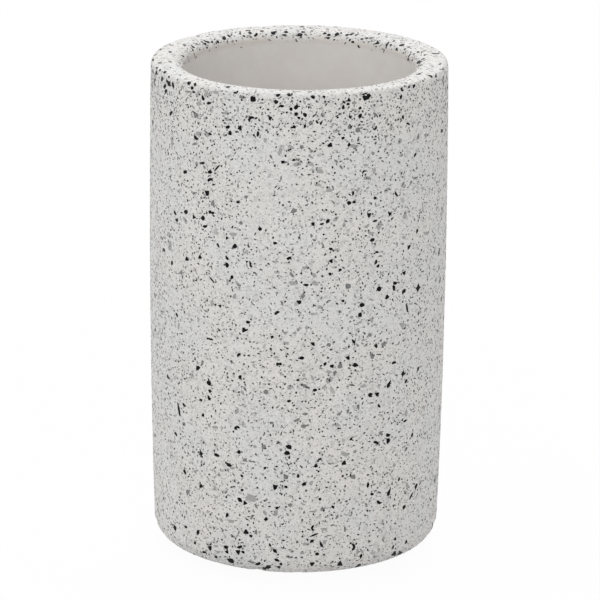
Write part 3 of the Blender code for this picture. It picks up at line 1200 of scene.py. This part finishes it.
strew(
    "basalt_chips",
    {
        "lump": [crushed(7, 1.25, 0.45) for _ in range(7)],
        "round": [crushed(8, 1.05, 0.2) for _ in range(2)],
        "wedge": [wedged() for _ in range(4)],
        "bar": [crushed(6, 1.9, 0.35) for _ in range(6)],
        "splinter": [banded(SPLINTER_HALF_WIDTHS, 1.7) for _ in range(2)],
        "arch": [hooked(1.9, 1.05) for _ in range(2)],
        "hook": [hooked(2.8, 0.95)],
        "prongs": [pronged(3), pronged(4)],
        "drop": [banded(DROP_HALF_WIDTHS, 2.4)],
        "waisted": [banded(WAISTED_HALF_WIDTHS, 1.8)],
    },
    {"arch": "strips", "hook": "strips"},
    stone_material("basalt", (0.003, 0.003, 0.004, 1.0), (0.024, 0.025, 0.026, 1.0), 0.5, 0.1),
    {
        "Chips Per Area": 30000.0,
        "Rim Crowding": 1.3,
        "Rim Thinning": 0.1,
        "Clustering": 0.3,
        "Cluster Size": 0.009,
        "Smallest": 0.0003,
        "Growth": 0.00016,
        "Bold Share": 0.75,
        "Bold Growth": 1.9,
        "Largest": 0.0013,
        "Largest In Front": 0.00046,
        "Proud": 0.00002,
        "Seed": 5,
    },
    placed=BOLD_BASALT,
    tone=0.15,
    rare=("prongs", "drop", "waisted"),
)


# Basalt grit: the fine end of the same crushed stone, grains and slivers of a quarter to half a
# millimetre, mixed through the paste and cut open by the same grinding.
strew(
    "basalt_grit",
    {
        "grain": [crushed(5, 1.4, 0.35) for _ in range(4)],
        "bar": [crushed(4, 2.8, 0.3) for _ in range(3)],
    },
    {"grain": "whole", "bar": "whole"},
    stone_material("grit", (0.004, 0.004, 0.005, 1.0), (0.050, 0.050, 0.050, 1.0), 0.5, 0.1),
    {
        "Chips Per Area": 280000.0,
        "Rim Crowding": 0.9,
        "Rim Thinning": 0.2,
        "Clustering": 0.2,
        "Cluster Size": 0.009,
        "Smallest": 0.00025,
        "Growth": 0.00008,
        "Bold Share": 0.0,
        "Bold Growth": 1.0,
        "Largest": 0.00045,
        "Largest In Front": 0.00045,
        "Proud": 0.000018,
        "Seed": 65,
    },
)


# Grey slate: thin splinters lying every way, broken bits and a few rounded grains, of which the
# largest in front were read off the photograph too.
BOLD_SLATE = {
    "round": [
        (350, 127, 0.95, 0), (358, 130, 1.05, 40), (311, 123, 0.85, 0), (340, 312, 0.65, 0),
        (370, 335, 0.75, 0), (266, 392, 1.0, 0), (184, 424, 0.75, 0), (264, 447, 0.95, 0),
        (286, 477, 1.0, 0), (188, 492, 0.85, 0), (241, 223, 0.75, 0), (281, 450, 0.6, 0),
    ],
    "bar": [
        (418, 137, 0.75, 80), (238, 186, 0.6, 90), (281, 178, 0.6, 80), (336, 161, 0.65, -35),
        (341, 167, 0.7, -60), (375, 114, 0.7, -40), (403, 184, 0.7, 60), (415, 178, 0.6, 15),
        (181, 272, 0.6, 60), (282, 303, 0.75, -70), (292, 275, 0.85, -60), (202, 364, 0.7, 60),
        (276, 397, 0.55, -60), (245, 389, 0.7, -60), (297, 420, 0.9, 20), (305, 414, 0.8, 0),
        (304, 426, 1.0, 5), (305, 386, 1.05, -25), (335, 373, 0.8, 65), (339, 414, 0.7, 30),
        (226, 492, 0.65, 50), (256, 506, 0.75, -60), (252, 517, 0.7, 50), (337, 517, 0.75, 60),
        (323, 509, 0.8, 25), (345, 530, 0.6, 85), (289, 557, 0.75, -20), (358, 407, 0.8, -75),
        (242, 97, 0.95, -10), (331, 121, 0.55, 60), (308, 99, 0.65, -25), (322, 115, 0.65, -70),
    ],
    "lump": [
        (302, 147, 0.8, 0), (246, 197, 0.7, 0), (213, 203, 0.95, 85), (294, 211, 1.1, 40),
        (303, 296, 0.9, 50), (348, 286, 1.15, -40), (384, 344, 1.0, 30), (372, 356, 1.1, -50),
        (329, 345, 0.85, -20), (340, 366, 1.05, 45), (272, 423, 0.65, 0), (353, 477, 1.05, 0),
        (245, 460, 0.8, 0), (290, 505, 0.85, 0), (256, 532, 0.8, 80), (348, 411, 0.7, 90),
        (381, 433, 0.75, 0), (196, 115, 1.05, -50), (195, 144, 0.65, 0), (160, 63, 0.6, 0),
        (312, 31, 0.5, 0), (180, 75, 0.45, 0), (186, 79, 0.45, 0), (406, 83, 0.45, 0),
        (310, 92, 0.5, 0), (170, 52, 0.4, 0), (264, 28, 0.4, 0), (298, 31, 0.4, 0),
    ],
    "splinter": [
        (232, 362, 0.6, -40), (214, 163, 0.6, 0), (347, 159, 0.5, -15), (323, 245, 0.65, -60),
        (253, 362, 0.5, 5), (233, 536, 0.7, -40), (251, 562, 0.85, -10),
    ],
}

strew(
    "slate_chips",
    {
        "splinter": [crushed(5, 3.4, 0.35) for _ in range(5)],
        "bar": [crushed(5, 2.2, 0.35) for _ in range(4)],
        "round": [crushed(9, 1.05, 0.1) for _ in range(2)],
        "lump": [crushed(5, 1.3, 0.4) for _ in range(4)],
        "arch": [hooked(bend, 0.4) for bend in (1.2, 1.8)],
    },
    {"splinter": "whole", "bar": "whole", "lump": "whole", "arch": "strips"},
    stone_material("slate", (0.120, 0.121, 0.120, 1.0), (0.400, 0.398, 0.388, 1.0), 0.5, 0.4),
    {
        "Chips Per Area": 190000.0,
        "Rim Crowding": 0.4,
        "Rim Thinning": 0.3,
        "Clustering": 0.2,
        "Cluster Size": 0.014,
        "Smallest": 0.00024,
        "Growth": 0.0001,
        "Bold Share": 0.05,
        "Bold Growth": 2.6,
        "Largest": 0.0012,
        "Largest In Front": 0.0006,
        "Proud": 0.000015,
        "Seed": 25,
    },
    placed=BOLD_SLATE,
    tone=0.5,
)


# Pale limestone: broad flakes that hardly stand out from the paste, the largest in front read off
# the photograph.
BOLD_LIMESTONE = {
    "flake": [
        (206, 93, 1.1, 80), (216, 92, 1.0, 0), (198, 94, 0.9, 70), (199, 104, 0.95, 0),
        (361, 94, 0.8, 80), (391, 127, 1.0, 80), (280, 151, 1.1, 80), (291, 147, 1.0, -30),
        (311, 164, 1.05, -30), (320, 171, 1.2, -10), (366, 165, 0.8, 0), (374, 171, 0.9, 80),
        (367, 178, 1.1, 0), (387, 190, 1.0, 50), (329, 190, 1.1, 0), (358, 190, 0.8, 60),
        (233, 234, 1.1, 0), (170, 246, 1.2, 85), (336, 219, 1.0, 50), (379, 226, 1.3, 60),
        (367, 226, 0.85, 40), (371, 233, 0.95, 0), (405, 215, 1.1, 80), (305, 268, 0.85, 0),
        (315, 283, 1.15, -20), (293, 283, 1.2, 0), (277, 272, 0.8, 0), (212, 303, 0.95, 80),
        (337, 250, 0.85, 0), (320, 307, 0.9, 0), (313, 314, 0.8, 0), (426, 233, 0.9, 0),
        (286, 343, 0.85, 0), (286, 333, 0.75, 40), (290, 387, 1.1, 20), (237, 411, 1.0, 70),
        (215, 427, 0.9, 0), (243, 424, 0.85, 85), (329, 372, 0.9, 0), (329, 380, 1.3, 40),
        (324, 387, 0.85, 50), (402, 324, 0.9, 0), (406, 413, 0.95, 80), (337, 425, 0.95, 0),
        (251, 498, 1.9, -10), (265, 513, 0.85, -60), (231, 521, 1.0, 0), (268, 537, 0.8, 0),
        (276, 513, 1.1, 80), (311, 483, 0.9, 60), (345, 454, 1.2, -20), (324, 529, 0.95, 0),
        (306, 544, 1.0, 0), (325, 542, 0.8, 60), (302, 553, 0.75, 0), (216, 546, 0.7, 0),
    ],
    "bar": [
        (226, 113, 1.0, 0), (238, 109, 0.75, 85), (211, 110, 0.75, 85), (336, 131, 0.9, 15),
        (172, 143, 0.8, 88), (318, 185, 0.9, 0), (344, 225, 0.8, 80), (314, 275, 0.95, -30),
        (276, 357, 0.75, 0), (308, 328, 0.75, 20), (363, 386, 0.8, 30), (215, 488, 0.75, -75),
        (426, 136, 0.7, 80), (311, 157, 0.8, -25), (218, 552, 0.75, 0),
    ],
}

strew(
    "limestone_chips",
    {
        "flake": [crushed(6, 1.6, 0.4) for _ in range(5)],
        "bar": [crushed(5, 2.2, 0.35) for _ in range(4)],
        "lump": [crushed(6, 1.2, 0.3) for _ in range(4)],
    },
    {"bar": "whole", "lump": "whole"},
    stone_material("limestone", (0.330, 0.328, 0.320, 1.0), (0.560, 0.555, 0.542, 1.0), 0.55, 0.5),
    {
        "Chips Per Area": 150000.0,
        "Rim Crowding": 0.3,
        "Rim Thinning": 0.4,
        "Clustering": 0.3,
        "Cluster Size": 0.02,
        "Smallest": 0.0003,
        "Growth": 0.00016,
        "Bold Share": 0.16,
        "Bold Growth": 2.3,
        "Largest": 0.0017,
        "Largest In Front": 0.0012,
        "Proud": 0.00001,
        "Seed": 45,
    },
    placed=BOLD_LIMESTONE,
    tone=0.3,
)


# The feet: four soft milky plastic discs, moulded with a rounded edge and stuck under the base.
# Their shape is kept as the CAD has it, and their finish is made here.
FOOT_NODES = ("foot_front_left", "foot_front_right", "foot_back_left", "foot_back_right")
MILKY_DARK = (0.66, 0.665, 0.65, 1.0)
MILKY_LIGHT = (0.76, 0.76, 0.74, 1.0)
DUST_GREY = (0.5, 0.49, 0.47, 1.0)
MILKY_SCALE = 350.0
DUST_SCALE = 2500.0
DUST_FADE = (0.6, 0.75)
DUST_STRENGTH = 0.5
FOOT_ROUGHNESS = 0.38
DUST_ROUGHNESS = 0.2
FOOT_BUMP = 0.00003
FOOT_BUMP_STRENGTH = 0.4


def foot_material():
    """Soft plastic, translucent in life but drawn opaque: milky, a little cloudy, faintly dusty."""
    material, bench, shader = new_material("milky_foot")
    here = bench.add("ShaderNodeTexCoord")["Object"]
    cloud = bench.noise(here, MILKY_SCALE, 3.0)
    dust = bench.noise(here, DUST_SCALE, 3.0, 0.7)
    colour = bench.blend(cloud, MILKY_DARK, MILKY_LIGHT)
    colour = bench.blend(DUST_STRENGTH * bench.ease(dust, *DUST_FADE), colour, DUST_GREY)
    bench.drive(
        shader,
        {
            "Base Color": colour,
            "Roughness": FOOT_ROUGHNESS + DUST_ROUGHNESS * dust,
            "Normal": bench.bump(cloud, FOOT_BUMP, FOOT_BUMP_STRENGTH),
        },
    )
    return material


foot_finish = foot_material()
for node in FOOT_NODES:
    for slot in frame["nodes"][node].material_slots:
        slot.material = foot_finish


# The stage: a plain pale floor that shows white, and soft light from a strong broad lamp high
# behind, two weaker ones in front and one at the left, with a pale room round it all.
FLOOR_SIZE = 8.0
FLOOR_GAP = 0.0001  # keeps the floor just clear of the soles
FLOOR_WHITENING = 0.96  # the share of the floor's look that is plain white in the camera
FLOOR_PALE = (0.86, 0.86, 0.86, 1.0)
FLOOR_ROUGHNESS = 0.9
WORLD_STRENGTH = 0.55
LAMP_DISTANCE = 1.6
LAMP_AIM = Vector((0.0, 0.0, 0.06))

# Each lamp's bearing from the front to the right, its angle over the level, its size and power
LAMPS = {
    "lamp_back": (180.0, 50.0, 1.2, 10.9),
    "lamp_front": (0.0, 30.0, 1.0, 4.6),
    "lamp_front_high": (0.0, 60.0, 1.0, 1.5),
    "lamp_left": (-80.0, 50.0, 1.0, 4.2),
}


def white_to_camera(bench):
    """1 where the camera, a reflection or a see-through surface looks straight at it."""
    path = bench.add("ShaderNodeLightPath")
    seen = path["Is Camera Ray"].maths("MAXIMUM", path["Is Camera Ray"], path["Is Glossy Ray"])
    return seen.maths("MAXIMUM", seen, path["Is Transmission Ray"])


def make_floor():
    """A wide square that is clear from below, so that the feet can be looked at."""
    half = FLOOR_SIZE / 2
    mesh = bpy.data.meshes.new("floor")
    corners = [
        (across, back, -FLOOR_GAP)
        for across, back in ((-half, -half), (half, -half), (half, half), (-half, half))
    ]
    mesh.from_pydata(corners, [], [(0, 1, 2, 3)])
    floor = bpy.data.objects.new("floor", mesh)
    bpy.context.scene.collection.objects.link(floor)
    material, bench, shader = new_material("pale_floor")
    shader.inputs["Base Color"].default_value = FLOOR_PALE
    shader.inputs["Roughness"].default_value = FLOOR_ROUGHNESS
    white = bench.add("ShaderNodeEmission", {}, {"Strength": 1.0})
    share = FLOOR_WHITENING * white_to_camera(bench)
    mixed = bench.add(
        "ShaderNodeMixShader", {}, {"Fac": share, 1: Wire(shader.outputs["BSDF"]), 2: white}
    )
    below = bench.add("ShaderNodeNewGeometry")["Backfacing"]
    clear = bench.add("ShaderNodeBsdfTransparent")
    mixed = bench.add("ShaderNodeMixShader", {}, {"Fac": below, 1: mixed, 2: clear})
    bench.tree.links.new(mixed.socket, bench.tree.nodes["Material Output"].inputs["Surface"])
    mesh.materials.append(material)


def make_world():
    world = bpy.data.worlds.new("pale_room")
    world.use_nodes = True
    bench = Bench(world.node_tree)
    background = world.node_tree.nodes["Background"]
    background.inputs["Color"].default_value = (1.0, 1.0, 1.0, 1.0)
    seen = white_to_camera(bench)
    strength = WORLD_STRENGTH + (1.0 - WORLD_STRENGTH) * seen
    bench.tree.links.new(strength.socket, background.inputs["Strength"])
    bpy.context.scene.world = world


def make_lamp(name, bearing, height_angle, size, power):
    """A square soft lamp that faces the tumbler."""
    data = bpy.data.lights.new(name, "AREA")
    data.size = size
    data.energy = power
    bearing = math.radians(bearing)
    height_angle = math.radians(height_angle)
    away = Vector((math.sin(bearing), -math.cos(bearing), 0.0)) * math.cos(height_angle)
    away.z = math.sin(height_angle)
    lamp = bpy.data.objects.new(name, data)
    lamp.location = LAMP_AIM + LAMP_DISTANCE * away
    lamp.rotation_euler = (-away).to_track_quat("-Z", "Y").to_euler()
    bpy.context.scene.collection.objects.link(lamp)


bpy.context.scene.view_settings.view_transform = "Standard"
make_floor()
make_world()
for lamp_name, lamp_facts in LAMPS.items():
    make_lamp(lamp_name, *lamp_facts)
